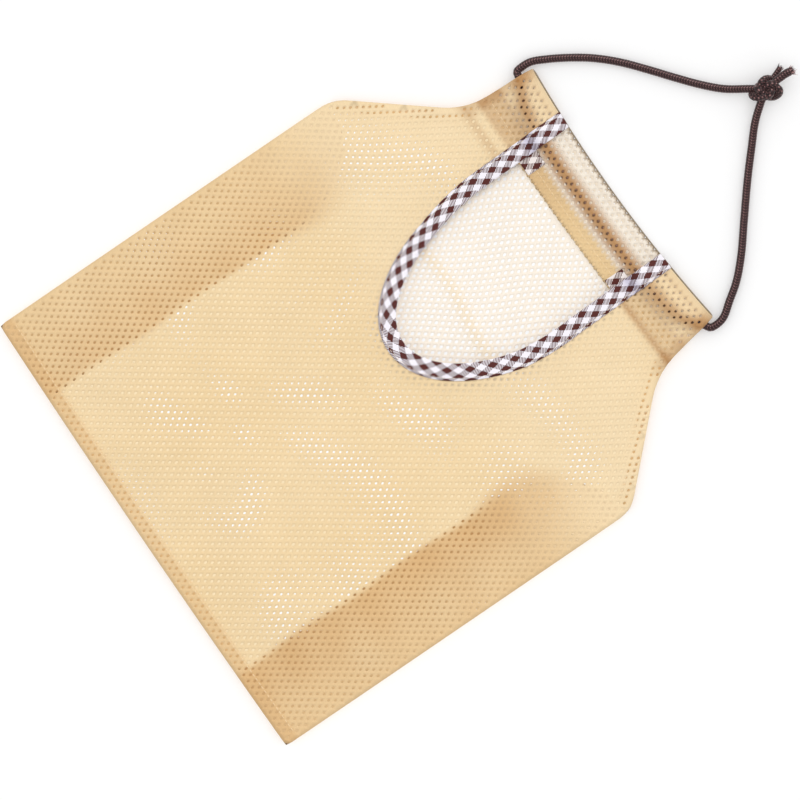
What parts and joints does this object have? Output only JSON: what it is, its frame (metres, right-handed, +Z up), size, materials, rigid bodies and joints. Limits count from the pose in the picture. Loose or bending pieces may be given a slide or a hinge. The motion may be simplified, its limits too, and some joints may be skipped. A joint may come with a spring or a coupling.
{
  "type": "mesh storage bag",
  "caption": "Flat mesh bag with folded-in side gussets, a U-shaped reach-in opening edged with checked bias tape, and a cord loop through the neck channel to hang it by.",
  "frame": {"origin": "on the table, under the middle of the cloth", "axes": "+X across the bag to its right as seen from the front, +Y up the bag towards its cord loop, +Z up off the table, out of the front panel"},
  "size_m": [0.32, 0.5049, 0.0141],
  "materials": {
    "mesh": "knitted polyester mesh, matt",
    "tape": "woven cotton bias tape, white and dark brown check",
    "thread": "sewing thread",
    "cord": "braided polyester cord, dark brown"
  },
  "bodies": {
    "bag": {"back_panel": "mesh", "front_panel": "mesh", "gusset_left": "mesh", "gusset_right": "mesh", "bottom_seam_allowance": "mesh", "shoulder_seam_left": "mesh", "shoulder_seam_right": "mesh", "back_channel": "mesh", "front_channel_left": "mesh", "front_channel_right": "mesh", "opening_binding": "tape", "binding_tail_left": "tape", "binding_tail_right": "tape", "stitch_bottom": "thread", "stitch_channel_left": "thread", "stitch_channel_right": "thread", "stitch_channel_back": "thread", "stitch_binding": "thread", "cord_channel_run": "cord"},
    "cord_loop": {"cord_leg_left": "cord", "cord_leg_right": "cord", "cord_knot": "cord", "cord_tail_long": "cord", "cord_tail_short": "cord"}
  },
  "joints": [
    {"name": "loop_swing", "type": "hinge", "parent": "bag", "child": "cord_loop", "pos_m": [-0.1084, 0.1721, 0.0036], "axis": [0.9988, 0.0488, 0], "range_deg": [0, 110]}
  ]
}
